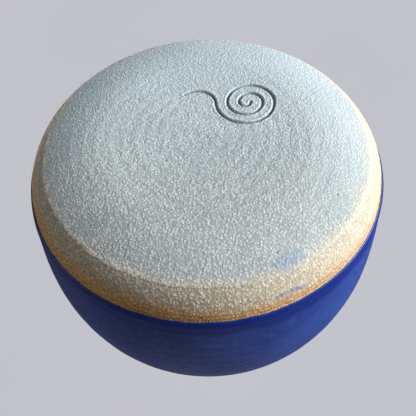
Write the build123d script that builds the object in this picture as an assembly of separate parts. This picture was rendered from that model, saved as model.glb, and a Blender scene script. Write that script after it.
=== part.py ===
from build123d import *
from math import asin, cos, degrees, radians, sin, sqrt
import os

# Wheel-thrown stoneware yarn bowl, in millimetres, +Z up.
# The origin is the centre of the flat base, which stands on z = 0.
# The curled yarn slot is on the -Y side.

# Overall form, measured on the glazed surface
HEIGHT = 88.5
BELLY_RADIUS = 77.5          # widest point of the wall
BELLY_HEIGHT = 49.0
LOWER_WALL_ARC = 206.0       # radius of the wall's curve below the belly
UPPER_WALL_ARC = 102.7       # radius of the wall's curve above the belly

# Thicknesses
WALL = 5.0
FLOOR = 7.0
GLAZE = 0.5                  # inside and outside coats alike
WASH = 0.25                  # thin coat over the flat of the base and the curve round it

# Foot of the bowl
FLAT_RADIUS = 40.0
BASE_EDGE_RADIUS = 76.0      # broad soft curve round the flat
WASH_EDGE_ANGLE = 21.1       # how far round that curve the wash reaches, in degrees
BEVEL_MIDDLE = (72.85, 12.0) # bare clay between the wash and the glaze
GLAZE_LINE = 17.0            # height where the outside glaze starts
ROLL_CREST = 19.2            # the glaze gathers in a thick roll at its lower edge
ROLL_TOP = 23.5
ROLL_DEPTH = 0.35

# Hollow
INNER_CORNER_RADIUS = 24.0
FLOOR_TOP = WASH + FLOOR

# Rim, a half round on the end of the leaning wall
CLAY_RIM_RADIUS = WALL / 2
RIM_RADIUS = CLAY_RIM_RADIUS + GLAZE
RIM_CENTRE_HEIGHT = HEIGHT - RIM_RADIUS
RIM_LEAN = degrees(asin((RIM_CENTRE_HEIGHT - BELLY_HEIGHT) / (UPPER_WALL_ARC - RIM_RADIUS)))

# Yarn slot, drawn in the X-Z plane and cut through the -Y wall
SLOT_WIDTH = 7.0
SLOT_LEG_X = 13.0            # where the leg meets the hook
SLOT_LEG_ARC = 96.0          # radius of the leg's gentle lean
SLOT_LEG_ANGLE = 22.0
SLOT_TURN_HEIGHT = 59.0      # height of the hook's centre
SLOT_HOOK_RADIUS = 12.0
SLOT_CURL_RADIUS = 7.0
SLOT_EYE_RADIUS = 5.0
SLOT_NEAR_Y = -40.0          # the cut runs from here out past the wall
SLOT_REACH = 60.0

# Incised mark on the base: a plain spiral, like a ball of yarn
MARK_CENTRE = (18.0, -18.0)
MARK_HALF_TURNS = 5
MARK_PITCH = 5.0             # distance from one turn to the next
MARK_TAIL_RADIUS = 8.0       # loose end that curves the other way
MARK_TAIL_ANGLE = 130.0
MARK_LINE = 1.6
MARK_DEPTH = 0.6


def wall_point(height, inset=0.0):
    """Point (r, z) on the wall's curve, inset from the glazed outside."""
    arc = LOWER_WALL_ARC if height < BELLY_HEIGHT else UPPER_WALL_ARC
    rise = height - BELLY_HEIGHT
    radius = BELLY_RADIUS - arc + sqrt((arc - inset) ** 2 - rise ** 2)
    return (radius, height)


def rim_point(angle, reach):
    """Point (r, z) round the rim's centre, at an angle up from outwards."""
    centre = wall_point(RIM_CENTRE_HEIGHT, RIM_RADIUS)
    turn = radians(angle)
    return (centre[0] + reach * cos(turn), centre[1] + reach * sin(turn))


def base_edge_point(angle, coat):
    """Point (r, z) on the soft curve of the base, at an angle round from straight down."""
    turn = radians(angle)
    reach = BASE_EDGE_RADIUS - coat
    return (FLAT_RADIUS + reach * sin(turn), BASE_EDGE_RADIUS - reach * cos(turn))


def base_edge(coat):
    """Soft curve from the flat of the base to where the wash ends."""
    middle = base_edge_point(WASH_EDGE_ANGLE / 2, coat)
    return ThreePointArc(base_edge_point(0, coat), middle, base_edge_point(WASH_EDGE_ANGLE, coat))


def wall_curve(low, high, inset):
    """One stretch of the wall's curve, wholly above or wholly below the belly."""
    middle = wall_point((low + high) / 2, inset)
    return ThreePointArc(wall_point(low, inset), middle, wall_point(high, inset))


def upper_wall(inset, side_angle, reach):
    """Wall's curve from the belly up to where the rim's round begins."""
    end = rim_point(side_angle, reach)
    middle = wall_point((BELLY_HEIGHT + end[1]) / 2, inset)
    return ThreePointArc(wall_point(BELLY_HEIGHT, inset), middle, end)


def inner_wall(coat):
    """Inside curve of the wall, from the rim's round down to the floor's corner."""
    inset = GLAZE + WALL + coat
    return [
        upper_wall(inset, RIM_LEAN + 180, CLAY_RIM_RADIUS + coat),
        wall_curve(FLOOR_TOP + coat, BELLY_HEIGHT, inset),
    ]


def round_corner(outline, coat):
    """Give the corner between the floor and the wall its large inside radius."""
    corner = wall_point(FLOOR_TOP + coat, GLAZE + WALL + coat)
    vertex = outline.vertices().sort_by_distance(Vector(*corner))[0]
    return fillet(vertex, INNER_CORNER_RADIUS - coat)


def spin(outline):
    """Solid of revolution from an outline drawn in (r, z)."""
    return revolve(Plane.XZ * outline, Axis.Z)


def clay_form():
    """Thrown clay body, before the slot and the mark are cut."""
    outer_rim = rim_point(RIM_LEAN, CLAY_RIM_RADIUS)
    inner_rim = rim_point(RIM_LEAN + 180, CLAY_RIM_RADIUS)
    rim_top = rim_point(RIM_LEAN + 90, CLAY_RIM_RADIUS)
    glaze_start = wall_point(GLAZE_LINE, GLAZE)
    floor_corner = wall_point(FLOOR_TOP, GLAZE + WALL)
    edges = [
        Line((0, WASH), (FLAT_RADIUS, WASH)),
        base_edge(WASH),
        ThreePointArc(base_edge_point(WASH_EDGE_ANGLE, WASH), BEVEL_MIDDLE, glaze_start),
        wall_curve(GLAZE_LINE, BELLY_HEIGHT, GLAZE),
        upper_wall(GLAZE, RIM_LEAN, CLAY_RIM_RADIUS),
        ThreePointArc(outer_rim, rim_top, inner_rim),
        *inner_wall(0.0),
        Line(floor_corner, (0, FLOOR_TOP)),
        Line((0, FLOOR_TOP), (0, WASH)),
    ]
    return spin(round_corner(make_face(edges), 0.0))


def outer_coat():
    """Glaze outside, from its thick lower roll up over the outer half of the rim."""
    clay_side = rim_point(RIM_LEAN, CLAY_RIM_RADIUS)
    clay_top = rim_point(90, CLAY_RIM_RADIUS)
    glaze_side = rim_point(RIM_LEAN, RIM_RADIUS)
    glaze_top = rim_point(90, RIM_RADIUS)
    halfway = (RIM_LEAN + 90) / 2
    edges = [
        wall_curve(GLAZE_LINE, BELLY_HEIGHT, GLAZE),
        upper_wall(GLAZE, RIM_LEAN, CLAY_RIM_RADIUS),
        ThreePointArc(clay_side, rim_point(halfway, CLAY_RIM_RADIUS), clay_top),
        Line(clay_top, glaze_top),
        ThreePointArc(glaze_top, rim_point(halfway, RIM_RADIUS), glaze_side),
        upper_wall(0.0, RIM_LEAN, RIM_RADIUS),
        wall_curve(ROLL_TOP, BELLY_HEIGHT, 0.0),
        ThreePointArc(
            wall_point(ROLL_TOP),
            wall_point(ROLL_CREST, -ROLL_DEPTH),
            wall_point(GLAZE_LINE, GLAZE),
        ),
    ]
    return spin(make_face(edges))


def inner_coat():
    """Glaze inside, from the rim's top down the wall and across the floor."""
    clay_side = rim_point(RIM_LEAN + 180, CLAY_RIM_RADIUS)
    clay_top = rim_point(90, CLAY_RIM_RADIUS)
    glaze_side = rim_point(RIM_LEAN + 180, RIM_RADIUS)
    glaze_top = rim_point(90, RIM_RADIUS)
    halfway = (RIM_LEAN + 180 + 90) / 2
    edges = [
        ThreePointArc(clay_top, rim_point(halfway, CLAY_RIM_RADIUS), clay_side),
        *inner_wall(0.0),
        Line(wall_point(FLOOR_TOP, GLAZE + WALL), (0, FLOOR_TOP)),
        Line((0, FLOOR_TOP), (0, FLOOR_TOP + GLAZE)),
        Line((0, FLOOR_TOP + GLAZE), wall_point(FLOOR_TOP + GLAZE, GLAZE + WALL + GLAZE)),
        *inner_wall(GLAZE),
        ThreePointArc(glaze_side, rim_point(halfway, RIM_RADIUS), glaze_top),
        Line(glaze_top, clay_top),
    ]
    outline = round_corner(make_face(edges), 0.0)
    return spin(round_corner(outline, GLAZE))


def wash_coat():
    """Thin coat over the flat of the base and the soft curve round it."""
    edges = [
        Line((0, 0), (FLAT_RADIUS, 0)),
        base_edge(0.0),
        Line(base_edge_point(WASH_EDGE_ANGLE, 0.0), base_edge_point(WASH_EDGE_ANGLE, WASH)),
        base_edge(WASH),
        Line((FLAT_RADIUS, WASH), (0, WASH)),
        Line((0, WASH), (0, 0)),
    ]
    return spin(make_face(edges))


def slot_path():
    """Centre line of the slot: a leaning leg, a hook and a tighter curl."""
    leg = CenterArc((SLOT_LEG_X + SLOT_LEG_ARC, SLOT_TURN_HEIGHT), SLOT_LEG_ARC,
                    180 - SLOT_LEG_ANGLE, SLOT_LEG_ANGLE)
    hook_centre = (SLOT_LEG_X - SLOT_HOOK_RADIUS, SLOT_TURN_HEIGHT)
    hook = CenterArc(hook_centre, SLOT_HOOK_RADIUS, 180, 180)
    curl_x = SLOT_LEG_X - 2 * SLOT_HOOK_RADIUS + SLOT_CURL_RADIUS
    curl = CenterArc((curl_x, SLOT_TURN_HEIGHT), SLOT_CURL_RADIUS, 90, 90)
    return [leg, hook, curl], curl @ 0


def slot_cutter(growth):
    """Slot as a solid through the -Y wall, grown all round by a coat's thickness."""
    path, eye = slot_path()
    outline = trace(path, line_width=SLOT_WIDTH + 2 * growth)
    outline += Pos(eye.X, eye.Y) * Circle(SLOT_EYE_RADIUS + growth)
    return extrude(Plane.XZ.offset(-SLOT_NEAR_Y) * outline, SLOT_REACH)


def mark_path():
    """Centre line of the mark: half turns that widen into a spiral, then a tail."""
    centre_x, centre_y = MARK_CENTRE
    turns = []
    for step in range(MARK_HALF_TURNS):
        radius = MARK_PITCH * (step + 1) / 2
        side = (step % 2) * MARK_PITCH / 2
        start = 180 * (step % 2)
        turns.append(CenterArc((centre_x + side, centre_y), radius, start, 180))
    reach = MARK_PITCH * MARK_HALF_TURNS / 2 + MARK_TAIL_RADIUS
    tail = CenterArc((centre_x - reach, centre_y), MARK_TAIL_RADIUS, 0, -MARK_TAIL_ANGLE)
    return [*turns, tail]


def engrave(shape):
    """Incise the spiral ball of yarn in the base."""
    return shape - extrude(trace(mark_path(), line_width=MARK_LINE), MARK_DEPTH, dir=(0, 0, 1))


def make_nodes():
    """Every named piece of the bowl."""
    clay = clay_form()
    clay_slot = slot_cutter(GLAZE)
    open_slot = slot_cutter(0.0)
    slot_lining = (clay & clay_slot) - open_slot
    return {
        "stoneware_body": engrave(clay - clay_slot),
        "outer_glaze": (outer_coat() - open_slot) + slot_lining,
        "liner_glaze": inner_coat() - open_slot,
        "base_wash": engrave(wash_coat()),
    }


os.makedirs("parts", exist_ok=True)
for node, shape in make_nodes().items():
    export_step(shape, f"parts/{node}.step")
    print(node, "volume", round(shape.volume), "mm3")
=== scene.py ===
from math import asin, cos, pi, radians, sin, sqrt

import bmesh
import bpy
import numpy as np
from mathutils import Matrix, Vector
from mathutils.geometry import delaunay_2d_cdt


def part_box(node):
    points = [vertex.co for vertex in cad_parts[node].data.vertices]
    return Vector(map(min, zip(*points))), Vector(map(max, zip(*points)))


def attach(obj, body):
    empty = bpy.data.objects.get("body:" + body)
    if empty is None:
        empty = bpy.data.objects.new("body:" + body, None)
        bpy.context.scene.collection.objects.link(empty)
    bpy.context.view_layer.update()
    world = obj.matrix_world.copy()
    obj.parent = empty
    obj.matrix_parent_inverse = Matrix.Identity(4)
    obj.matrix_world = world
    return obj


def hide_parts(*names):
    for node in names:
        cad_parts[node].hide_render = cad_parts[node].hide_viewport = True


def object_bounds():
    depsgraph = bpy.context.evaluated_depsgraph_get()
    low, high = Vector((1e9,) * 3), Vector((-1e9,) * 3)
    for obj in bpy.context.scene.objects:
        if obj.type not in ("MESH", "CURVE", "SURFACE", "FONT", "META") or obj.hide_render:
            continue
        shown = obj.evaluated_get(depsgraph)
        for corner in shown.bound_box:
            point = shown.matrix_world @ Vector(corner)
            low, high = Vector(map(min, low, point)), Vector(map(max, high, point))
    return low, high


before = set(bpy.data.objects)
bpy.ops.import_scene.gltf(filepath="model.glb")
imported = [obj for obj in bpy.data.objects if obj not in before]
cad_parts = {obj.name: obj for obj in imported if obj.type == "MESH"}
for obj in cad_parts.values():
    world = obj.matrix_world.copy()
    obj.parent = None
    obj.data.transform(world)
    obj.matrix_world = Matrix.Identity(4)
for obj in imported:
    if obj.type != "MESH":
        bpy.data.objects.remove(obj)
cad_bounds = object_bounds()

# A thrown stoneware yarn bowl. Shapes are worked out in millimetres and turned into metres when a
# mesh is made. The bowl stands on z = 0 and its yarn slot is on the -Y side. The camera looks up at
# the base from below, so there the bowl seems to stand on its rim.

MM = 0.001

# ---- Sizes, from the frame where it has them ----

HEIGHT = cad_bounds[1].z / MM
BELLY_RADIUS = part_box("outer_glaze")[1].x / MM
WASH_EDGE_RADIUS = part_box("base_wash")[1].x / MM
GLAZE_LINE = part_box("outer_glaze")[0].z / MM
FLOOR_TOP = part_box("liner_glaze")[0].z / MM
GLAZE = BELLY_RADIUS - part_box("stoneware_body")[1].x / MM
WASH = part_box("stoneware_body")[0].z / MM

BELLY_HEIGHT = 49.0
LOWER_WALL_ARC = 206.0       # radius of the wall's curve below the belly
UPPER_WALL_ARC = 102.7       # radius of the wall's curve above the belly
WALL = 5.0
FLAT_RADIUS = 40.0
BASE_EDGE_RADIUS = 76.0      # broad soft curve round the flat
WASH_EDGE_ANGLE = 21.1       # how far round that curve the wash reaches, in degrees
BEVEL_MIDDLE = (72.85, 12.0)
INNER_CORNER_RADIUS = 24.0

HALF_WALL = WALL / 2 + GLAZE
RIM_CENTRE_HEIGHT = HEIGHT - HALF_WALL
RIM_LEAN = asin((RIM_CENTRE_HEIGHT - BELLY_HEIGHT) / (UPPER_WALL_ARC - HALF_WALL))
APEX_HEIGHT = RIM_CENTRE_HEIGHT + HALF_WALL * cos(RIM_LEAN)   # where the wall's middle line ends

SPLIT_HEIGHT = 36.0          # above this the wall is one sheet with two faces
COLUMNS = 560                # steps round the bowl
UNROLL = 70.0                # radius at which the wall is unrolled to lay out its mesh
SLOT_EDGE_HALF = 1.4         # half the flat width left on the slot's edge
RIM_EDGE_HALF = 0.35         # half the flat width left on the rim
EDGE_LEVELS = (0.0, 0.1, 0.3, 0.6, 1.0, 1.5, 2.1)   # mesh lines at these distances from an edge
SLOT_STRETCH = (-17, 27)     # the wall is meshed apart round the slot, between these angles in degrees
SHEET_ROW = 1.0              # height of a row of the wall's mesh
LEVEL_GRID = (160, 170)      # samples across and up that the level lines are found in
LINE_GAPS = (0.55, 0.7)      # between points on the level lines close to the edge, and on the others
CLOSE_LEVEL = 0.8
PROFILE_STEP = 0.05
PROFILE_EASE = 1.2           # the profile's direction is smoothed over this distance
FAR_OFF = 99.0               # a distance too great to matter
NO_EDGE = 9.0                # the same, for the looks that depend on how near the edge is


# ---- Noise and small helpers ----

def lattice(cell, seed):
    """A repeatable random number from 0 to 1 for each whole-number point."""
    with np.errstate(over="ignore"):
        c = cell.astype(np.uint32)
        h = c[:, 0] * np.uint32(374761393) + c[:, 1] * np.uint32(668265263)
        h = h + c[:, 2] * np.uint32(2246822519) + np.uint32(seed * 97 + 13)
        h = (h ^ (h >> np.uint32(13))) * np.uint32(1274126177)
        h = (h ^ (h >> np.uint32(16))) * np.uint32(2654435761)
    return ((h ^ (h >> np.uint32(15))) & np.uint32(0xFFFFFF)) / float(0xFFFFFF)


def noise(points, size, seed):
    """Smooth noise from -1 to 1 whose lumps are about size millimetres across."""
    place = np.asarray(points, float) / size + 1000.0
    cell = np.floor(place).astype(np.int64)
    part = place - cell
    part = part * part * (3 - 2 * part)
    total = np.zeros(len(place))
    for corner in range(8):
        step = np.array([corner & 1, corner >> 1 & 1, corner >> 2 & 1])
        weight = np.prod(np.where(step == 1, part, 1 - part), axis=1)
        total += weight * lattice(cell + step, seed)
    return 2 * total - 1


def smooth_step(value, low, high):
    """0 below low, 1 above high, and smooth between."""
    t = np.clip((value - low) / (high - low), 0, 1)
    return t * t * (3 - 2 * t)


def smooth_min(a, b, width):
    """Smaller of two distances, rounded where they meet."""
    overlap = np.maximum(width - np.abs(a - b), 0) / width
    return np.minimum(a, b) - overlap * overlap * width / 4


def turn_noise(angle, waves, seed):
    """Noise round the bowl, which meets itself, with about that many waves in a turn."""
    ring = np.stack([np.cos(angle), np.sin(angle), np.zeros_like(angle)], axis=-1)
    shape = ring.shape[:-1]
    return noise(ring.reshape(-1, 3) * waves, 3.0, seed).reshape(shape)


def arc_distance(u, v, centre, radius, start, size):
    """Distance from points to an arc that starts at an angle and runs on by size, in degrees."""
    du = u - centre[0]
    dv = v - centre[1]
    angle = (np.degrees(np.arctan2(dv, du)) - start) % 360
    nearest = np.abs(np.hypot(du, dv) - radius)
    for end in (start, start + size):
        eu = centre[0] + radius * cos(radians(end))
        ev = centre[1] + radius * sin(radians(end))
        nearest = np.where(angle <= size, nearest, np.minimum(
            np.where(end == start, np.inf, nearest), np.hypot(u - eu, v - ev)))
    return nearest


# ---- The bowl's profile ----

def arc_points(centre, radius, start, end):
    """Points (r, z) along an arc, from one angle to another in radians."""
    count = max(2, int(abs(end - start) * radius / PROFILE_STEP))
    angles = np.linspace(start, end, count)
    return np.stack([centre[0] + radius * np.cos(angles), centre[1] + radius * np.sin(angles)], 1)


def line_points(start, end):
    """Points (r, z) along a straight line."""
    count = max(2, int(np.hypot(end[0] - start[0], end[1] - start[1]) / PROFILE_STEP))
    return np.linspace(start, end, count)


def circle_through(a, b, c):
    """Centre and radius of the circle through three points."""
    rows = np.array([[b[0] - a[0], b[1] - a[1]], [c[0] - a[0], c[1] - a[1]]]) * 2
    sums = np.array([b[0] ** 2 + b[1] ** 2 - a[0] ** 2 - a[1] ** 2,
                     c[0] ** 2 + c[1] ** 2 - a[0] ** 2 - a[1] ** 2])
    centre = np.linalg.solve(rows, sums)
    return centre, float(np.hypot(a[0] - centre[0], a[1] - centre[1]))


class Profile:
    """A smooth line in (r, z) that can be read at a distance along it, with a lift off it."""

    def __init__(self, stretches):
        points = np.concatenate(stretches)
        steps = np.hypot(*np.diff(points, axis=0).T)
        along = np.concatenate([[0], np.cumsum(steps)])
        self.length = along[-1]
        self.s = np.arange(0, self.length, PROFILE_STEP)
        self.r = np.interp(self.s, along, points[:, 0])
        self.z = np.interp(self.s, along, points[:, 1])
        width = int(PROFILE_EASE / PROFILE_STEP)
        kernel = np.ones(width) / width
        kept = slice(width // 2, width // 2 + len(self.s))
        dr, dz = (np.convolve(np.pad(np.gradient(line), width // 2, "edge"), kernel, "same")[kept]
                  for line in (self.r, self.z))
        size = np.hypot(dr, dz)
        self.nr = dz / size
        self.nz = -dr / size

    def at(self, s, lift=0.0):
        """Radius and height at distance s, lifted off the clay."""
        r = np.interp(s, self.s, self.r) + lift * np.interp(s, self.s, self.nr)
        z = np.interp(s, self.s, self.z) + lift * np.interp(s, self.s, self.nz)
        return r, z

    def reach(self, height):
        """Distance along at which the line first climbs or falls to a height."""
        crossing = np.nonzero(np.diff(np.sign(self.z - height)))[0]
        return self.s[crossing[0]]


def middle_wall(height):
    """Radius and outward direction of the wall's middle line at a height."""
    arc = np.where(height < BELLY_HEIGHT, LOWER_WALL_ARC, UPPER_WALL_ARC)
    rise = height - BELLY_HEIGHT
    reach = arc - HALF_WALL
    lean = np.arcsin(rise / reach)
    return BELLY_RADIUS - arc + reach * np.cos(lean), np.cos(lean), np.sin(lean)


def outside_profile():
    """Clay's outside line, from the centre of the base up to where the wall's sheet begins."""
    edge_centre = (FLAT_RADIUS, BASE_EDGE_RADIUS)
    edge = arc_points(edge_centre, BASE_EDGE_RADIUS - WASH, -pi / 2, radians(WASH_EDGE_ANGLE - 90))
    wall_centre = (BELLY_RADIUS - LOWER_WALL_ARC, BELLY_HEIGHT)
    wall_radius = LOWER_WALL_ARC - GLAZE
    low = asin((GLAZE_LINE - BELLY_HEIGHT) / wall_radius)
    high = asin((SPLIT_HEIGHT - BELLY_HEIGHT) / (LOWER_WALL_ARC - HALF_WALL))
    wall = arc_points(wall_centre, wall_radius, low, high)
    centre, radius = circle_through(edge[-1], BEVEL_MIDDLE, wall[0])
    start = np.arctan2(edge[-1][1] - centre[1], edge[-1][0] - centre[0])
    end = np.arctan2(wall[0][1] - centre[1], wall[0][0] - centre[0])
    bevel = arc_points(centre, radius, start, end)
    return Profile([line_points((0, WASH), (FLAT_RADIUS, WASH)), edge, bevel, wall])


def inside_profile():
    """Glazed inside line, from where the wall's sheet ends down to the centre of the floor."""
    wall_centre = np.array([BELLY_RADIUS - LOWER_WALL_ARC, BELLY_HEIGHT])
    wall_radius = LOWER_WALL_ARC - 2 * HALF_WALL
    corner_radius = INNER_CORNER_RADIUS - GLAZE
    floor = FLOOR_TOP + GLAZE
    reach = wall_radius - corner_radius
    drop = floor + corner_radius - BELLY_HEIGHT
    corner = wall_centre + np.array([sqrt(reach ** 2 - drop ** 2), drop])
    tangent = asin(drop / reach)
    top = asin((SPLIT_HEIGHT - BELLY_HEIGHT) / (LOWER_WALL_ARC - HALF_WALL))
    return Profile([
        arc_points(wall_centre, wall_radius, top, tangent),
        arc_points(corner, corner_radius, tangent, -pi / 2),
        line_points((corner[0], floor), (0, floor)),
    ])


OUTSIDE = outside_profile()
INSIDE = inside_profile()
LINE_S = OUTSIDE.reach(GLAZE_LINE)  # distance along the outside to the glaze's edge
WASH_S = FLAT_RADIUS + (BASE_EDGE_RADIUS - WASH) * radians(WASH_EDGE_ANGLE)


# ---- The yarn slot, and how far the clay is from an edge ----

SLOT_HALF = 3.5
SLOT_LEG_X = 13.0
SLOT_TURN_HEIGHT = 59.0
SLOT_HOOK_RADIUS = 12.0
SLOT_CURL_RADIUS = 7.0
SLOT_EYE_RADIUS = 5.0
SLOT_LEG_ARC = 96.0
SLOT_LEG_ANGLE = 24.0


def slot_distance(x, z):
    """Distance from the yarn slot's outline, in the X-Z plane; less than 0 inside the slot."""
    leg = arc_distance(x, z, (SLOT_LEG_X + SLOT_LEG_ARC, SLOT_TURN_HEIGHT), SLOT_LEG_ARC,
                       180 - SLOT_LEG_ANGLE, SLOT_LEG_ANGLE)
    hook_x = SLOT_LEG_X - SLOT_HOOK_RADIUS
    hook = arc_distance(x, z, (hook_x, SLOT_TURN_HEIGHT), SLOT_HOOK_RADIUS, 180, 180)
    curl_x = hook_x - SLOT_HOOK_RADIUS + SLOT_CURL_RADIUS
    curl = arc_distance(x, z, (curl_x, SLOT_TURN_HEIGHT), SLOT_CURL_RADIUS, 90, 90)
    track = np.minimum(np.minimum(leg, hook), curl) - SLOT_HALF
    eye = np.hypot(x - curl_x, z - SLOT_TURN_HEIGHT - SLOT_CURL_RADIUS) - SLOT_EYE_RADIUS
    return smooth_min(track, eye, 1.5)


def rim_distance(height):
    """Distance down the wall's sheet from the rim."""
    return (APEX_HEIGHT - height) / cos(RIM_LEAN)


def edge_distance(angle, height):
    """Distance of a point on the wall's middle sheet from the rim or the slot."""
    radius = middle_wall(np.minimum(height, APEX_HEIGHT))[0]
    slot = slot_distance(radius * np.sin(angle), height)
    slot = np.where(np.cos(angle) > 0, slot, FAR_OFF)
    return smooth_min(rim_distance(height), slot, 5.0)


def edge_half(angle, height):
    """Half the flat width on the edge: narrow on the rim and wide in the slot."""
    radius = middle_wall(np.minimum(height, APEX_HEIGHT))[0]
    slot = slot_distance(radius * np.sin(angle), height)
    share = smooth_step(rim_distance(height) - slot, -2.5, 2.5) * (np.cos(angle) > 0)
    return RIM_EDGE_HALF + (SLOT_EDGE_HALF - RIM_EDGE_HALF) * share


def half_thickness(angle, height):
    """Half the wall's thickness, rounded off towards the rim and the slot."""
    edge = edge_half(angle, height)
    soft = HALF_WALL - edge
    inwards = 1 - np.clip(edge_distance(angle, height) / soft, 0, 1)
    return edge + soft * np.sqrt(1 - inwards ** 2)


def side_end(kind, i, j):
    """Far end of a cell's side that starts at a grid point."""
    return (i, j + 1) if kind == "across" else (i + 1, j)


def link_crossings(above):
    """Joins the cell sides that a level line crosses, as side -> neighbouring sides."""
    links = {}
    mixed = above[:-1, :-1].astype(int) + above[1:, :-1] + above[:-1, 1:] + above[1:, 1:]
    for i, j in zip(*np.nonzero((mixed > 0) & (mixed < 4))):
        around_cell = (("across", i, j), ("up", i, j + 1), ("across", i + 1, j), ("up", i, j))
        sides = [side for side in around_cell if above[side[1:]] != above[side_end(*side)]]
        for one, other in zip(sides[::2], sides[1::2]):
            links.setdefault(one, []).append(other)
            links.setdefault(other, []).append(one)
    return links


def level_line(field, level, us, zs):
    """Points (u, z) along a level of the field, from the left side to the right side."""
    links = link_crossings(field > level)
    side = next(key for key in links if key[0] == "up" and key[2] == 0)
    before = None
    line = []
    while side is not None:
        i, j = side[1:]
        k, m = side_end(*side)
        share = (level - field[i, j]) / (field[k, m] - field[i, j])
        line.append((us[j] + share * (us[m] - us[j]), zs[i] + share * (zs[k] - zs[i])))
        onward = [key for key in links[side] if key != before]
        before, side = side, (onward[0] if onward else None)
    return np.array(line)


def settle(line, level):
    """Moves points (u, z) exactly onto a level of the edge distance."""
    nudge = 0.01
    for _ in range(4):
        u, z = line.T
        here = edge_distance(u / UNROLL, z)
        slope_u = (edge_distance((u + nudge) / UNROLL, z) - here) / nudge
        slope_z = (edge_distance(u / UNROLL, z + nudge) - here) / nudge
        push = (level - here) / np.maximum(slope_u ** 2 + slope_z ** 2, 0.2)
        line = line + np.stack([push * slope_u, push * slope_z], 1)
    return line


def respace(line, gap):
    """The same line with its points about gap apart."""
    steps = np.hypot(*np.diff(line, axis=0).T)
    along = np.concatenate([[0], np.cumsum(steps)])
    places = np.linspace(0, along[-1], max(2, round(along[-1] / gap)) + 1)
    return np.stack([np.interp(places, along, line[:, 0]), np.interp(places, along, line[:, 1])], 1)


def wall_sheet():
    """Mesh of the wall's middle sheet, unrolled, with the slot cut out of it.

    Returns its points (angle, height), its faces, its bottom row and its edge loop.
    """
    step = 2 * pi / COLUMNS
    left, right = (round(angle / 360 * COLUMNS) for angle in SLOT_STRETCH)
    rims = [APEX_HEIGHT - level * cos(RIM_LEAN) for level in EDGE_LEVELS]
    heights = [*np.arange(SPLIT_HEIGHT, rims[-1] - 0.8, SHEET_ROW), *reversed(rims)]
    angles = np.arange(COLUMNS) * step
    inside = np.zeros(COLUMNS, bool)
    inside[np.arange(left + 1, right) % COLUMNS] = True

    points = []
    index = {}
    for row, height in enumerate(heights):
        for column in range(COLUMNS):
            if row == 0 or not inside[column]:
                index[row, column] = len(points)
                points.append((angles[column] - 2 * pi * (column > COLUMNS // 2), height))
    faces = []
    for row in range(len(heights) - 1):
        for column in range(COLUMNS):
            after = (column + 1) % COLUMNS
            if not inside[column] and not inside[after]:
                faces.append((index[row, column], index[row, after],
                              index[row + 1, after], index[row + 1, column]))

    # Lay out the stretch with the slot: level lines round its edge, and a plain grid beyond them
    us = np.linspace(left * step * UNROLL, right * step * UNROLL, LEVEL_GRID[0])
    zs = np.linspace(SPLIT_HEIGHT, APEX_HEIGHT + 1.0, LEVEL_GRID[1])
    field = edge_distance(*np.meshgrid(us / UNROLL, zs))
    left_column, right_column = left % COLUMNS, right % COLUMNS
    border = [index[0, column % COLUMNS] for column in range(left, right + 1)]
    chains = [border]
    for column in (left_column, right_column):
        chains.append([index[row, column] for row in range(len(heights))])
    edge_chain = None
    for number, level in enumerate(EDGE_LEVELS):
        line = settle(level_line(field, level, us, zs), level)
        line = respace(line, LINE_GAPS[level > CLOSE_LEVEL])[1:-1]
        line = settle(line, level)
        row = len(heights) - 1 - number
        start = len(points)
        points.extend((u / UNROLL, z) for u, z in line)
        chain = [index[row, left_column], *range(start, len(points)), index[row, right_column]]
        chains.append(chain)
        if number == 0:
            edge_chain = chain
    for row in range(1, len(heights) - len(EDGE_LEVELS)):
        for column in range(left + 1, right):
            angle = column * step
            if edge_distance(np.array([angle]), np.array([heights[row]]))[0] > EDGE_LEVELS[-1] + 0.45:
                points.append((angle, heights[row]))
                chains.append([len(points) - 1])

    used = sorted({k for chain in chains for k in chain})
    place = {k: n for n, k in enumerate(used)}
    flat = [Vector((points[k][0] * UNROLL, points[k][1])) for k in used]
    edges = [(place[a], place[b]) for chain in chains for a, b in zip(chain, chain[1:])]
    made, _, triangles, origins, _, _ = delaunay_2d_cdt(flat, edges, [], 0, 1e-5)
    back = [used[origin[0]] if origin else None for origin in origins]
    for triangle in triangles:
        centre_u = sum(made[k].x for k in triangle) / 3
        centre_z = sum(made[k].y for k in triangle) / 3
        corners = [back[k] for k in triangle]
        if None in corners or edge_distance(np.array([centre_u / UNROLL]), np.array([centre_z]))[0] < 0:
            continue
        faces.append(tuple(corners))
    bottom = [index[0, column] for column in range(COLUMNS)]
    top_row = len(heights) - 1
    rest = [index[top_row, column % COLUMNS] for column in range(right + 1, left + COLUMNS)]
    return np.array(points), faces, bottom, [*edge_chain, *rest]


SHEET_POINTS, SHEET_FACES, SHEET_BOTTOM, SHEET_EDGE = wall_sheet()


# ---- Building meshes ----

def off_axis(radius, angle, height):
    """Points (x, y, z) from their distance off the axis, angle round it and height."""
    return np.stack([radius * np.sin(angle), -radius * np.cos(angle), height], -1)


def around(points):
    """Each point's angle round the bowl, from -Y towards +X, and its distance off the axis."""
    return np.arctan2(points[:, 0], -points[:, 1]), np.hypot(points[:, 0], points[:, 1])


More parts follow.
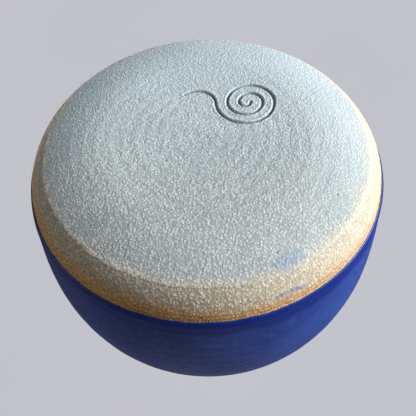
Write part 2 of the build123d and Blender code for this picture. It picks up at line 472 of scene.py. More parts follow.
class Surface:
    """Points and faces of one surface, in millimetres."""

    def __init__(self):
        self.points = np.zeros((0, 3))
        self.faces = []

    def add(self, radius, angle, height):
        """Adds points given round the axis, and returns their numbers."""
        radius, angle, height = np.broadcast_arrays(radius, angle, height)
        made = off_axis(radius, angle, height).reshape(-1, 3)
        start = len(self.points)
        self.points = np.concatenate([self.points, made])
        return np.arange(start, start + len(made))

    def bridge(self, low, high):
        """Joins one closed row of points to the next one along the profile."""
        low, high = list(map(int, low)), list(map(int, high))
        for j in range(len(low)):
            k = (j + 1) % len(low)
            self.faces.append((low[j], low[k], high[k], high[j]))

    def ring(self, before, radius, angle, height):
        """Adds a closed row of points, joined to the row or the single point before it."""
        row = self.add(radius, angle, height)
        if len(before) == 1:
            self.close_pole(row, before[0])
        elif len(before) > 1:
            self.bridge(before, row)
        return row

    def close_pole(self, row, pole, first=True):
        """Joins a closed row to a single point on the axis."""
        row, pole = list(map(int, row)), int(pole)
        for j, k in zip(row, row[1:] + row[:1]):
            self.faces.append((pole, k, j) if first else (j, k, pole))

    def normals(self):
        """Smooth outward direction at each point."""
        total = np.zeros_like(self.points)
        for size in (3, 4):
            chosen = np.array([f for f in self.faces if len(f) == size])
            if len(chosen) == 0:
                continue
            a, b, c = (self.points[chosen[:, k]] for k in (0, 1, 2))
            across = np.cross(b - a, c - a)
            if size == 4:
                d = self.points[chosen[:, 3]]
                across = across + np.cross(c - a, d - a)
            for k in range(size):
                for axis in range(3):
                    total[:, axis] += np.bincount(chosen[:, k], across[:, axis], len(total))
        return total / np.maximum(np.linalg.norm(total, axis=1), 1e-12)[:, None]

    def push(self, lift):
        """Moves each point outwards by its own lift."""
        self.points = self.points + self.normals() * lift[:, None]

    def thicken(self, depth):
        """Makes the open sheet a closed coat by adding its back and its borders."""
        count = len(self.points)
        self.points = np.concatenate([self.points, self.points - self.normals() * depth])
        sides = {side: True for face in self.faces for side in zip(face, face[1:] + face[:1])}
        rims = [(a, b) for a, b in sides if (b, a) not in sides]
        self.faces += [tuple(k + count for k in reversed(face)) for face in self.faces]
        self.faces += [(b, a, a + count, b + count) for a, b in rims]


def make_piece(name, surface, material, node, attributes):
    """Turns a surface into a Blender object that stands for a CAD node."""
    mesh = bpy.data.meshes.new(name)
    mesh.from_pydata((surface.points * MM).tolist(), [], surface.faces)
    mesh.polygons.foreach_set("use_smooth", [True] * len(mesh.polygons))
    for label, values in attributes.items():
        layer = mesh.attributes.new(label, "FLOAT", "POINT")
        layer.data.foreach_set("value", np.asarray(values, np.float32))
    mesh.update()
    mesh.validate()
    piece = bpy.data.objects.new(name, mesh)
    bpy.context.scene.collection.objects.link(piece)
    piece.data.materials.append(material)
    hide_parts(node)
    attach(piece, "root")
    return piece


def turns():
    """Angles of the columns round the bowl, from -Y towards +X."""
    return np.arange(COLUMNS) * 2 * pi / COLUMNS


def doubled(values):
    """The same values for a coat's front and back."""
    return np.concatenate([values, values])


# ---- Base wash: the grainy grey disc, with its incised mark ----

MARK_CENTRE = (18.0, -18.0)
MARK_HALF_TURNS = 5
MARK_PITCH = 5.0
MARK_HALF_LINE = 0.8
MARK_DEPTH = 0.75
MARK_BURR = 0.16
MARK_TAIL_RADIUS = 8.0
MARK_TAIL_SIZE = 130.0


def mark_distance(x, y):
    """Distance from the centre line of the incised spiral and its tail."""
    nearest = np.full_like(x, FAR_OFF)
    for step in range(MARK_HALF_TURNS):
        radius = MARK_PITCH * (step + 1) / 2
        centre = (MARK_CENTRE[0] + (step % 2) * MARK_PITCH / 2, MARK_CENTRE[1])
        nearest = np.minimum(nearest, arc_distance(x, y, centre, radius, 180 * (step % 2), 180))
    reach = MARK_PITCH * MARK_HALF_TURNS / 2 + MARK_TAIL_RADIUS
    tail = arc_distance(x, y, (MARK_CENTRE[0] - reach, MARK_CENTRE[1]), MARK_TAIL_RADIUS,
                        360 - MARK_TAIL_SIZE, MARK_TAIL_SIZE)
    return np.minimum(nearest, tail)


def wash_columns():
    """Angles round the base, closer together where the mark is."""
    mark = np.degrees(np.arctan2(MARK_CENTRE[0], -MARK_CENTRE[1]))
    fine = np.arange(mark - 36, mark + 36, 0.36)
    coarse = np.arange(mark + 36, mark + 324, 0.75)
    return np.radians(np.concatenate([fine, coarse]))


def pits(points, count, reach, seed):
    """Depth of small random pits in the flat of the base."""
    random = np.random.default_rng(seed)
    depth = np.zeros(len(points))
    for _ in range(count):
        turn = random.uniform(0, 2 * pi)
        far = reach * sqrt(random.uniform(0, 1))
        size = random.uniform(0.22, 0.42)
        away = np.hypot(points[:, 0] - far * sin(turn), points[:, 1] + far * cos(turn))
        depth = np.maximum(depth, size * 0.6 * (1 - smooth_step(away, size * 0.4, size * 1.3)))
    return depth


WASH_TAPER = 2.2             # the wash thins out over this distance at its edge
WASH_EXTRA = 2.2             # it reaches this much further on one side than on the other
WASH_EXTRA_TURN = radians(50)
WASH_BACKING = 0.2           # the coat runs on this much deeper into the clay
PIT_COUNT = 44


def build_wash(material):
    """Thin coat over the flat of the base and the curve round it, thinning to a ragged edge."""
    angles = wash_columns()
    rows = [*np.arange(0.9, 11, 0.55), *np.arange(11, 42, 0.32), *np.arange(42, WASH_S - 1, 0.55),
            WASH_S - 0.7, WASH_S - 0.4, WASH_S - 0.2, WASH_S - 0.07, WASH_S]
    surface = Surface()
    before = surface.add(0.0, 0.0, 0.0)
    insets = [np.full(1, WASH_S)]
    for s in rows:
        fade = smooth_step(s, WASH_S - 8, WASH_S)
        wander = 0.5 * turn_noise(angles, 16, 3) + 0.22 * turn_noise(angles, 60, 4)
        extra = WASH_EXTRA / 2 * (1 + np.cos(angles - WASH_EXTRA_TURN))
        place = s + (wander + extra) * fade
        step_in = np.clip((WASH_S - s) / WASH_TAPER, 0, 1)
        lift = WASH * sqrt(1 - (1 - step_in) ** 2)
        radius, height = OUTSIDE.at(place, lift)
        before = surface.ring(before, radius, angles, height)
        insets.append(np.full(len(angles), WASH_S - s))
    points = surface.points
    far = around(points)[1]
    flat = 1 - smooth_step(far, FLAT_RADIUS, WASH_EDGE_RADIUS)
    away = mark_distance(points[:, 0], points[:, 1])
    groove = 1 - smooth_step(away, 0.15, MARK_HALF_LINE + 0.1)
    broken = 0.75 + 0.35 * noise(points, 2.2, 21)
    burr = np.exp(-((away - MARK_HALF_LINE - 0.35) / 0.3) ** 2) * np.clip(broken, 0, 1.3)
    pit = pits(points, PIT_COUNT, WASH_EDGE_RADIUS - 6, 5)
    grain = 0.05 * noise(points, 1.3, 6) + 0.035 * noise(points, 0.8, 7)
    trim = 0.035 * np.sin(far * 2 * pi / 5.3 + 1.5 * noise(points, 30, 8))
    warp = 0.12 * noise(points, 38, 9)
    surface.push(grain + (trim + warp) * flat - MARK_DEPTH * groove + MARK_BURR * burr - pit)
    surface.thicken(WASH + WASH_BACKING)
    inset = np.concatenate(insets)
    attributes = {"groove": doubled(groove), "pit": doubled(pit), "inset": doubled(inset)}
    return make_piece("base_wash_coat", surface, material, "base_wash", attributes)


# ---- Outer glaze ----

GLAZE_OFFSETS = (0.0, 0.06, 0.16, 0.3, 0.5, 0.75, 1.05, 1.4, 1.8, 2.3, 2.9, 3.6, 4.4, 5.3, 6.3, 7.5)


def line_wander(angle):
    """How far the glaze's lower edge strays along the clay, round the bowl."""
    tilt = 0.9 * np.cos(angle - radians(215))
    return tilt + 0.45 * turn_noise(angle, 9, 11) + 0.28 * turn_noise(angle, 34, 12)


def outer_glaze_lift(offset, angle):
    """Thickness of the outside glaze, with its roll, at a distance above its edge."""
    rise = np.sqrt(1 - (1 - np.clip(offset / 1.1, 0, 1)) ** 2)
    roll = 0.36 * (1 + 0.35 * turn_noise(angle, 22, 13)) * np.exp(-((offset - 2.8) / 2.5) ** 2)
    return rise * (GLAZE + roll)


def sheet_side(surface, side):
    """Adds one face of the wall's sheet: side is 1 for outside and -1 for inside."""
    angle, height = SHEET_POINTS.T
    radius, out, up = middle_wall(height)
    half = half_thickness(angle, height)
    start = surface.add(radius + side * half * out, angle, height + side * half * up)[0]
    for face in SHEET_FACES:
        ordered = face if side > 0 else face[::-1]
        surface.faces.append(tuple(int(k) + int(start) for k in ordered))
    return start


def edge_values(surface, start, later):
    """Each point's distance from the rim or the slot, and later for the points after the sheet."""
    values = np.full(len(surface.points), NO_EDGE)
    values[start:start + len(SHEET_POINTS)] = edge_distance(*SHEET_POINTS.T)
    values[start + len(SHEET_POINTS):] = later
    return values


def slot_walls(surface, outer_start, inner_start=None):
    """Closes the edge between the sheet's two faces, and returns the last row's numbers."""
    angle, height = SHEET_POINTS[SHEET_EDGE].T
    radius, out, up = middle_wall(height)
    half = half_thickness(angle, height)
    before = np.array(SHEET_EDGE) + outer_start
    for share in (0.6, 0.0, -0.6):
        row = surface.add(radius + share * half * out, angle, height + share * half * up)
        surface.bridge(before, row)
        before = row
    if inner_start is None:
        last = surface.add(radius - half * out, angle, height - half * up)
    else:
        last = np.array(SHEET_EDGE) + inner_start
    surface.bridge(before, last)
    return last


def build_outer_glaze(material):
    """Blue coat outside, over the rim and down the walls of the slot."""
    angles = turns()
    top = OUTSIDE.length
    offsets = [*GLAZE_OFFSETS, *np.arange(8.7, top - LINE_S - 0.6, 1.2)]
    surface = Surface()
    before = ()
    for offset in offsets:
        fade = 1 - smooth_step(offset, 3, 14)
        place = LINE_S + offset + line_wander(angles) * fade
        radius, height = OUTSIDE.at(place, outer_glaze_lift(offset, angles))
        before = surface.ring(before, radius, angles, height)
    start = sheet_side(surface, 1)
    surface.bridge(before, np.array(SHEET_BOTTOM) + start)
    slot_walls(surface, start)
    points = surface.points
    turn = around(points)[0]
    rise = points[:, 2] - GLAZE_LINE - line_wander(turn)
    edge = edge_values(surface, start, 0.0)
    calm = smooth_step(edge, 0.5, 5.0) * smooth_step(rise, 1.0, 6.0)
    rings = 0.025 * np.sin((points[:, 2] + 3.4 * turn / pi + noise(points, 24, 14)) * 2 * pi / 6.8)
    warp = 0.22 * noise(points, 42, 15) + 0.05 * noise(points, 7, 16)
    surface.push((rings + warp) * calm)
    surface.thicken(GLAZE)
    attributes = {"rise": doubled(rise), "edge": doubled(edge)}
    return make_piece("outer_glaze_coat", surface, material, "outer_glaze", attributes)


# ---- Liner glaze ----

RING_PITCH = 7.2             # distance from one throwing ring to the next


def build_liner(material):
    """Blue coat inside, down the wall with its throwing rings and across the floor."""
    angles = turns()
    surface = Surface()
    start = sheet_side(surface, -1)
    before = np.array(SHEET_BOTTOM) + start
    for s in np.arange(0.9, INSIDE.length - 0.9, 0.95):
        radius, height = INSIDE.at(s)
        before = surface.ring(before, radius, angles, height)
    pole = surface.add(0.0, 0.0, FLOOR_TOP + GLAZE)
    surface.close_pole(before, pole[0], first=False)
    points = surface.points
    turn, far = around(points)
    edge = edge_values(surface, start, NO_EDGE)
    along = np.where(far > 60, points[:, 2] + 20, far - 40)
    wound = along + RING_PITCH * turn / (2 * pi) + 1.4 * noise(points, 26, 31)
    spiral = np.sin(wound * 2 * pi / RING_PITCH)
    calm = smooth_step(edge, 0.5, 6.0) * smooth_step(far, 3, 12)
    surface.push((0.2 * spiral + 0.15 * noise(points, 40, 32)) * calm)
    surface.thicken(GLAZE)
    attributes = {"edge": doubled(edge), "rings": doubled(spiral * calm)}
    return make_piece("liner_glaze_coat", surface, material, "liner_glaze", attributes)


# ---- Clay body ----

BEVEL_START = WASH_S - 2.0
BEVEL_END = LINE_S + 3.5
UNDER_WASH = 0.35            # the clay lies this much deeper where the wash covers it
UNDER_MARK = 0.8             # and this much deeper again round the mark
UNDER_GLAZE = 0.08
GLAZE_OVERLAP = 0.05         # the glaze reaches this far into the wall's clay


def bevel_relief(points, s, angle):
    """Grain, trimming lines and dents on the bare clay between the wash and the glaze."""
    grain = 0.06 * noise(points, 1.25, 41) + 0.035 * noise(points, 0.75, 42)
    lines = 0.025 * np.sin(s * 2 * pi / 1.9 + 2 * turn_noise(angle, 5, 43))
    dents = -0.12 * smooth_step(noise(points, 3.2, 44), 0.55, 0.9)
    return grain + lines * smooth_step(s, WASH_S + 4, LINE_S - 2) + dents


def build_clay(material):
    """Thrown clay: the bare bevel is seen, and the rest backs the coats."""
    angles = turns()
    surface = Surface()
    before = surface.add(0.0, 0.0, WASH + UNDER_WASH)
    row_places = [*np.arange(3, BEVEL_START, 3.0), *np.arange(BEVEL_START, BEVEL_END, 0.34),
                  *np.arange(BEVEL_END + 1, OUTSIDE.length - 1, 2.5)]
    for s in row_places:
        sunk = UNDER_WASH * (1 - smooth_step(s, BEVEL_START - 5, BEVEL_START))
        bare = smooth_step(s, WASH_S - 1.2, WASH_S) * (1 - smooth_step(s, LINE_S + 1.5, LINE_S + 3))
        radius, height = OUTSIDE.at(np.full(COLUMNS, s))
        smooth = off_axis(radius, angles, height)
        away = np.hypot(smooth[:, 0] - MARK_CENTRE[0], smooth[:, 1] - MARK_CENTRE[1])
        near_mark = 1 - smooth_step(away, 22, 32)
        lift = bevel_relief(smooth, s, angles) * bare - sunk
        lift = lift - UNDER_MARK * near_mark - UNDER_GLAZE * (1 - bare)
        radius, height = OUTSIDE.at(np.full(COLUMNS, s), lift)
        before = surface.ring(before, radius, angles, height)
    bare_count = len(surface.points)
    outer = sheet_side(surface, 1)
    surface.bridge(before, np.array(SHEET_BOTTOM) + outer)
    inner = sheet_side(surface, -1)
    slot_walls(surface, outer, inner)
    before = np.array(SHEET_BOTTOM) + inner
    for s in np.arange(2, INSIDE.length - 3, 3.0):
        radius, height = INSIDE.at(s)
        before = surface.ring(before, radius, angles, height)
    pole = surface.add(0.0, 0.0, FLOOR_TOP + GLAZE)
    surface.close_pole(before, pole[0], first=False)
    glazed = np.arange(len(surface.points)) >= bare_count
    surface.push(-np.where(glazed, GLAZE - GLAZE_OVERLAP, 0.0))
    points = surface.points
    turn, far = around(points)
    below = GLAZE_LINE + line_wander(turn) - points[:, 2]
    attributes = {"below_line": below, "beyond_wash": far - WASH_EDGE_RADIUS}
    return make_piece("clay_body", surface, material, "stoneware_body", attributes)


# ---- Materials ----

def colour(red, green, blue):
    """A display colour from 0 to 255 as the linear value a shader takes."""
    return tuple((c / 255 / 12.92 if c <= 10 else ((c / 255 + 0.055) / 1.055) ** 2.4)
                 for c in (red, green, blue)) + (1.0,)


class Graph:
    """One material's node tree, with a short call for each kind of node used here."""

    def __init__(self, name):
        self.material = bpy.data.materials.new(name)
        self.material.use_nodes = True
        self.tree = self.material.node_tree
        self.tree.nodes.clear()

    def node(self, kind, inputs=(), **settings):
        made = self.tree.nodes.new("ShaderNode" + kind)
        for key, value in settings.items():
            setattr(made, key, value)
        for key, value in dict(inputs).items():
            if isinstance(value, bpy.types.NodeSocket):
                self.tree.links.new(value, made.inputs[key])
            else:
                made.inputs[key].default_value = value
        return made

    def place(self):
        """Position on the object, in millimetres."""
        where = self.node("TexCoord").outputs["Object"]
        return self.node("VectorMath", {0: where, 3: 1 / MM}, operation="SCALE").outputs[0]

    def part(self, vector, axis):
        return self.node("SeparateXYZ", {0: vector}).outputs[axis]

    def stretch(self, vector, scale):
        return self.node("VectorMath", {0: vector, 1: scale}, operation="MULTIPLY").outputs[0]

    def noise(self, vector, size, detail=2.0, roughness=0.5):
        """Noise from 0 to 1 whose lumps are about size millimetres across."""
        return self.node("TexNoise", {"Vector": vector, "Scale": 1 / size, "Detail": detail,
                                      "Roughness": roughness}).outputs[0]

    def cells(self, vector, size):
        """Distance to the nearest of many scattered points, about size millimetres apart."""
        return self.node("TexVoronoi", {"Vector": vector, "Scale": 1 / size}).outputs["Distance"]

    def attribute(self, name):
        return self.node("Attribute", attribute_name=name).outputs["Fac"]

    def math(self, operation, first, second=0.0):
        return self.node("Math", {0: first, 1: second}, operation=operation).outputs[0]

    def times(self, first, *others):
        for other in others:
            first = self.math("MULTIPLY", first, other)
        return first

    def between(self, value, low, high, to_low=0.0, to_high=1.0):
        """Smoothly maps a range of values to another."""
        return self.node("MapRange", {0: value, 1: low, 2: high, 3: to_low, 4: to_high},
                         interpolation_type="SMOOTHSTEP").outputs[0]

    def mix(self, share, first, second):
        """Mixes two colours."""
        return self.node("Mix", {0: share, 6: first, 7: second}, data_type="RGBA").outputs[2]

    def tint(self, tone, rgb, value, low, high, most=1.0):
        """Tone turned towards a display colour, by up to most, as a value goes from low to high."""
        return self.mix(self.between(value, low, high, 0.0, most), tone, colour(*rgb))

    def bump(self, height, depth, normal=None):
        """Bump whose full height is depth millimetres."""
        inputs = {"Height": height, "Distance": depth * MM, "Strength": 1.0}
        if normal is not None:
            inputs["Normal"] = normal
        return self.node("Bump", inputs).outputs[0]

    def close(self, shader):
        """Sends a shader to the material's output."""
        self.tree.links.new(shader.outputs[0], self.node("OutputMaterial").inputs[0])
        return self.material

    def finish(self, **inputs):
        """Surface with the named inputs of the principled shader."""
        named = {key.replace("_", " "): value for key, value in inputs.items()}
        return self.close(self.node("BsdfPrincipled", named))

    def glow(self, tone):
        """Plain emission that no light changes."""
        return self.close(self.node("Emission", {"Color": tone}))


def spot(graph, place, x, y, reach, uneven, ragged):
    """Share from 0 to 1 inside a ragged patch round a point on the base."""
    away = graph.node("VectorMath", {0: graph.stretch(place, (1, 1, 0)), 1: (x, y, 0)},
                      operation="DISTANCE").outputs["Value"]
    frayed = graph.math("ADD", away, graph.times(uneven, ragged))
    return graph.between(frayed, reach, reach * 0.45)


def sandy(g, place, tone, pale, dark, near_share):
    """Tone with bright and dark flecks, partly the grog's own colour and partly painted light and shade
    on the grain's relief, and the grain that they come from.
    """
    fine = g.times(g.noise(place, 0.8, 2, 0.7), 0.6)
    grain = g.math("ADD", fine, g.between(g.cells(place, 1.1), 0.65, 0.0, 0.0, 0.4))
    # Painted light: the flecks are painted stronger towards +Y and -X, where the raking light brings
    # out the grain, and fainter towards -Y and +X.
    strength = g.between(g.part(place, "Y"), -60.0, 50.0, 0.2, near_share)
    strength = g.times(strength, g.between(g.part(place, "X"), 0.0, 70.0, 1.0, 0.55))
    light = g.times(g.between(grain, 0.5, 0.7), strength)
    shade = g.times(g.between(grain, 0.46, 0.28), strength)
    return g.mix(shade, g.mix(light, tone, pale), dark), grain


SCUFFS = ((-45.2, 13, 7), (-58.8, 19.6, 8), (-41.7, 52.7, 9))  # x, y and reach
SMUDGES = (  # x, y, reach and strength
    (24, 60, 6, 0.32), (27.5, 59, 6.5, 0.36), (31, 57.5, 6, 0.32), (-12, -13.7, 5, 0.2),
)


def wash_material():
    """Matt grey-blue wash, full of fine grog grain, thinning to bare clay at its edge."""
    g = Graph("grey_blue_wash")
    place = g.place()
    broad = g.noise(place, 34, 3)
    patchy = g.noise(place, 7, 4, 0.6)
    # Painted sheen: the wash is painted paler and bluer towards -Y, the far side, standing in for a
    # cool glancing reflection.
    side = g.between(g.part(place, "Y"), 60.0, -60.0)
    near = g.tint(colour(176, 187, 192), (186, 196, 200), broad, 0.3, 0.7)
    far = g.tint(colour(184, 207, 221), (195, 215, 226), broad, 0.3, 0.7)
    tone = g.mix(side, near, far)
    tone = g.tint(tone, (208, 215, 216), patchy, 0.35, 0.75, 0.4)
    uneven = g.noise(place, 3.5, 3, 0.6)
    inset = g.attribute("inset")
    ragged = g.math("ADD", inset, g.between(uneven, 0.25, 0.75, -1.3, 1.3))
    tone = g.tint(tone, (206, 201, 186), ragged, 4.4, 0.3)
    tone, grain = sandy(g, place, tone, colour(240, 244, 244), colour(100, 110, 116), 0.38)
    # Near-white crest along the wash's thin edge on the -X side: partly a pale scuffed edge, partly a
    # painted highlight.
    crest_glint = g.times(g.between(inset, 2.6, 1.5), g.between(inset, 0.5, 1.3),
                    g.between(g.noise(place, 1.6, 3, 0.6), 0.45, 0.62, 0.0, 0.75),
                    g.between(g.part(place, "X"), -8.0, -34.0))
    tone = g.mix(crest_glint, tone, colour(240, 242, 240))
    for x, y, reach in SCUFFS:
        scuff = g.times(spot(g, place, x, y, reach, uneven, 9), g.between(grain, 0.42, 0.6))
        tone = g.mix(scuff, tone, colour(238, 240, 238))
    for x, y, reach, strength in SMUDGES:
        smudge = g.times(spot(g, place, x, y, reach, uneven, 4), strength)
        tone = g.mix(smudge, tone, colour(100, 146, 188))
    # Painted shade: the incised mark's groove is painted darker.
    tone = g.mix(g.times(g.attribute("groove"), 0.7), tone, colour(84, 90, 92))
    # Painted shade: the small pits are painted dark.
    tone = g.tint(tone, (60, 60, 60), g.attribute("pit"), 0.05, 0.16, 0.85)
    lumps = g.bump(g.noise(place, 1.6, 2, 0.5), 0.14)
    rough = g.bump(grain, 0.3, lumps)
    return g.finish(Base_Color=tone, Roughness=g.between(grain, 0.3, 0.7, 0.95, 0.8), Normal=rough)


def clay_material():
    """Sandy buff stoneware that turns golden, with thin brown lines, next to the glaze."""
    g = Graph("bare_buff_stoneware")
    place = g.place()
    patchy = g.noise(g.stretch(place, (1, 1, 2.2)), 6, 3, 0.6)
    below = g.attribute("below_line")
    tone = g.tint(colour(190, 184, 167), (203, 197, 181), patchy, 0.3, 0.7)
    haze = g.math("ADD", g.attribute("beyond_wash"), g.between(patchy, 0.25, 0.75, -1.5, 1.5))
    tone = g.tint(tone, (192, 190, 180), haze, 2.6, -0.4, 0.6)
    # The golden flashing is the clay's own colour; painted light makes it fainter towards +X, the lit
    # side, and wider towards -X, the shaded side.
    lit_side_fade = g.between(g.part(place, "X"), -10.0, 70.0, 1.0, 0.5)
    golden = g.math("ADD", below, g.between(patchy, 0.2, 0.8, -1.3, 1.3))
    golden = g.math("SUBTRACT", golden, g.between(g.part(place, "X"), 20.0, -40.0, 0.0, 3.2))
    golden = g.times(g.between(golden, 7.4, 1.4, 0.0, 0.9), lit_side_fade)
    tone = g.mix(golden, tone, colour(212, 158, 88))
    strand = g.between(g.noise(g.stretch(place, (1, 1, 4)), 9, 2), 0.3, 0.7, -0.45, 0.45)
    for low, strength in ((1.4, 0.55), (2.9, 0.32)):
        away = g.math("ABSOLUTE", g.math("SUBTRACT", g.math("ADD", below, strand), low))
        line = g.times(g.between(away, 0.5, 0.1), g.between(patchy, 0.3, 0.6, 0.3, strength))
        tone = g.mix(line, tone, colour(128, 76, 34))
    tone, grain = sandy(g, place, tone, colour(248, 243, 230), colour(118, 102, 80), 0.46)
    drops = g.between(g.cells(g.stretch(place, (1, 1, 2.5)), 3.4), 0.17, 0.1)
    near = g.times(g.between(below, 4.6, 3.4), g.between(below, 1.0, 2.0))
    rare = g.between(g.noise(place, 15, 1), 0.56, 0.64)
    tone = g.mix(g.times(drops, near, rare), tone, colour(72, 104, 160))
    sideways = g.part(place, "X")
    away = g.math("ABSOLUTE", g.math("SUBTRACT", g.math("ADD", below, strand), 5.6))
    trail = g.times(g.between(sideways, 19, 24), g.between(sideways, 37, 32),
                    g.between(g.part(place, "Y"), 50, 60), g.between(away, 1.0, 0.4),
                    g.between(g.noise(place, 2.2, 2), 0.35, 0.55, 0.0, 0.7))
    tone = g.mix(trail, tone, colour(88, 122, 170))
    lumps = g.bump(g.noise(place, 1.5, 2, 0.5), 0.16)
    rough = g.bump(grain, 0.3, lumps)
    return g.finish(Base_Color=tone, Roughness=g.between(grain, 0.3, 0.7, 0.95, 0.85), Normal=rough)


def glaze_tone(g, place, deep, body, pale):
    """Mottled blue from three display colours."""
    mottle = g.noise(g.stretch(place, (1, 1, 1.6)), 2.6, 4, 0.6)
    broad = g.noise(place, 24, 2)
    tone = g.tint(colour(*deep), body, broad, 0.3, 0.7)
    return g.tint(tone, pale, mottle, 0.42, 0.72, 0.55)


def worn_edge(g, place, tone):
    """Tone rubbed thin to the clay's warm grey along the rim and the slot."""
    worn = g.math("ADD", g.attribute("edge"), g.between(g.noise(place, 4, 3), 0.3, 0.7, -0.5, 0.5))
    return g.tint(tone, (122, 112, 110), worn, 1.3, 0.3, 0.8)


def outer_glaze_material():
    """Satin cobalt, navy in the roll, partly thicker glaze and partly painted shade where the roll
    catches less sheen, with a thin teal line at its edge.
    """
    g = Graph("cobalt_satin_glaze")
    place = g.place()
    rise = g.attribute("rise")
    tone = glaze_tone(g, place, (22, 48, 124), (34, 64, 144), (62, 92, 164))
    uneven = g.between(g.noise(place, 12, 2), 0.3, 0.7, -0.6, 0.6)
    # Navy roll: partly glaze gathered thick, partly painted shade for the sheen that the roll faces
    # away from.
    tone = g.tint(tone, (10, 38, 124), g.math("ADD", rise, uneven), 9.8, 6.2)
    tone = g.tint(tone, (22, 60, 118), rise, 0.4, 0.1, 0.5)
    tone = worn_edge(g, place, tone)
    fine = g.noise(place, 1.1, 2, 0.5)
    soft = g.bump(g.noise(place, 4.5, 2, 0.5), 0.05)
    skin = g.bump(fine, 0.02, soft)
    return g.finish(Base_Color=tone, Roughness=g.between(fine, 0.3, 0.7, 0.4, 0.52), Normal=skin,
                    Specular_IOR_Level=0.3, Coat_Weight=0.08, Coat_Roughness=0.3)


def liner_material():
    """Glossier cobalt inside, deeper between the throwing rings."""
    g = Graph("cobalt_gloss_glaze")
    place = g.place()
    tone = glaze_tone(g, place, (34, 58, 136), (48, 78, 160), (84, 114, 186))
    tone = g.tint(tone, (18, 38, 112), g.attribute("rings"), 0.0, -1.0, 0.5)
    tone = worn_edge(g, place, tone)
    fine = g.noise(place, 1.3, 2, 0.5)
    skin = g.bump(fine, 0.015, g.bump(g.noise(place, 5.0, 2, 0.5), 0.05))
    return g.finish(Base_Color=tone, Roughness=g.between(fine, 0.3, 0.7, 0.16, 0.26), Normal=skin,
                    Coat_Weight=0.5, Coat_Roughness=0.12)


# ---- Camera, light and floor ----

CAMERA_PITCH = radians(54.32)  # how steeply the camera looks at the base
CAMERA_ROLL = radians(-2.94)
CAMERA_DISTANCE = 242.6  # to the circle of the glaze's edge, along the line of sight
CAMERA_RISE = -20.15
CAMERA_LENS = 48.46

# Lights stand still: where each one is from the bowl's middle, its distance and size in metres, its
# power in watts, its tint and whether the glaze mirrors it. The key and the low fill shine up at the
# base, and the other two light the mouth and the slot. The top one would mirror as a white band.
LIGHTS = {
    "key": ((0.912, 0.048, -0.407), 2.0, 1.2, 92, (1.0, 0.98, 0.95), True),
    "low_fill": ((-0.95, 0.146, -0.252), 1.2, 0.9, 2.6, (0.94, 0.97, 1.0), True),
    "top": ((0.0, 0.0, 1.0), 1.0, 1.0, 14, (1.0, 0.99, 0.97), False),
    "slot_side": ((-0.35, -0.85, 0.35), 1.5, 0.8, 20, (1.0, 0.99, 0.97), True),
}
ROOM_TINT = (1.0, 0.93, 0.84, 1)
ROOM_STRENGTH = 0.11
FLOOR_HEIGHT = -0.5  # in metres: the floor is below every view's camera
BOARD_HEIGHT = 0.55  # and the board is above every one
STAGE_RADIUS = 3.0
STAGE_FADE = (1000, 2400)  # the floor and board turn into the backdrop from here to here, in mm
BACKDROP = (206, 206, 212)


def make_camera():
    """Camera below the bowl, looking up at the base as if the bowl stood on its rim."""
    ahead = Vector((0, -cos(CAMERA_PITCH), sin(CAMERA_PITCH)))
    level_up = Vector((0, -sin(CAMERA_PITCH), -cos(CAMERA_PITCH)))
    level_right = Vector((1, 0, 0))
    right = cos(CAMERA_ROLL) * level_right + sin(CAMERA_ROLL) * level_up
    up = cos(CAMERA_ROLL) * level_up - sin(CAMERA_ROLL) * level_right
    where = Vector((0, 0, GLAZE_LINE)) - ahead * CAMERA_DISTANCE + level_up * CAMERA_RISE
    camera = bpy.data.objects.new("camera", bpy.data.cameras.new("camera"))
    camera.data.lens = CAMERA_LENS
    camera.data.clip_start = 0.01
    camera.data.clip_end = 20
    bpy.context.scene.collection.objects.link(camera)
    turn = Matrix((right, up, -ahead)).transposed()
    camera.matrix_world = Matrix.Translation(where * MM) @ turn.to_4x4()
    bpy.context.scene.camera = camera


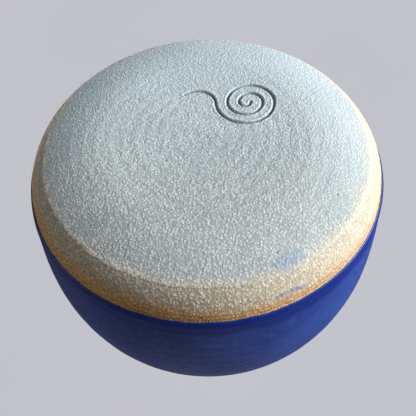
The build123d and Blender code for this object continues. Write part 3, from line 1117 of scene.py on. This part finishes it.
def make_light(name, direction, distance, size, power, tint, mirrored):
    """Soft area light at a fixed place, shining at the bowl."""
    data = bpy.data.lights.new(name, "AREA")
    data.shape = "DISK"
    data.size = size
    data.energy = power
    data.color = tint
    lamp = bpy.data.objects.new(name, data)
    bpy.context.scene.collection.objects.link(lamp)
    away = Vector(direction).normalized()
    lamp.location = (cad_bounds[0] + cad_bounds[1]) / 2 + away * distance
    lamp.rotation_mode = "QUATERNION"
    lamp.rotation_quaternion = away.to_track_quat("Z", "Y")
    lamp.visible_camera = False
    lamp.visible_glossy = mirrored


def make_world():
    """Dim even room light."""
    world = bpy.data.worlds.new("room")
    world.use_nodes = True
    room = world.node_tree.nodes["Background"]
    room.inputs[0].default_value = ROOM_TINT
    room.inputs[1].default_value = ROOM_STRENGTH
    bpy.context.scene.world = world


def stage_piece(name, form, height, material):
    """One still piece of the stage, which neither shades nor lights the bowl."""
    mesh = bpy.data.meshes.new(name)
    form.to_mesh(mesh)
    form.free()
    piece = bpy.data.objects.new(name, mesh)
    piece.data.materials.append(material)
    piece.location = (0, 0, height)
    for rays in ("diffuse", "glossy", "transmission", "shadow"):
        setattr(piece, "visible_" + rays, False)
    bpy.context.scene.collection.objects.link(piece)


def make_stage():
    """Pale floor well below the bowl, a pale board well above it, and a plain shell round both."""
    flat = flat_stage_material()
    for name, height in (("floor", FLOOR_HEIGHT), ("board", BOARD_HEIGHT)):
        form = bmesh.new()
        bmesh.ops.create_circle(form, cap_ends=True, segments=128, radius=STAGE_RADIUS)
        stage_piece(name, form, height, flat)
    form = bmesh.new()
    bmesh.ops.create_icosphere(form, subdivisions=4, radius=STAGE_RADIUS * 1.1)
    stage_piece("backdrop", form, 0, backdrop_material())


def flat_stage_material():
    """Plain and pale with very slight unevenness, turning into the backdrop's tone far away."""
    g = Graph("pale_stage")
    place = g.place()
    tone = g.mix(g.noise(place, 400, 2), colour(188, 189, 199), colour(200, 200, 206))
    far = g.node("VectorMath", {0: place}, operation="LENGTH").outputs["Value"]
    tone = g.tint(tone, BACKDROP, far, *STAGE_FADE)
    return g.glow(tone)


def backdrop_material():
    """The one plain tone that the floor and the board turn into."""
    return Graph("pale_backdrop").glow(colour(*BACKDROP))


# ---- Put it together ----

bpy.context.scene.view_settings.view_transform = "Standard"
make_camera()
for light_name, light_settings in LIGHTS.items():
    make_light(light_name, *light_settings)
make_world()
make_stage()
build_wash(wash_material())
build_clay(clay_material())
build_outer_glaze(outer_glaze_material())
build_liner(liner_material())
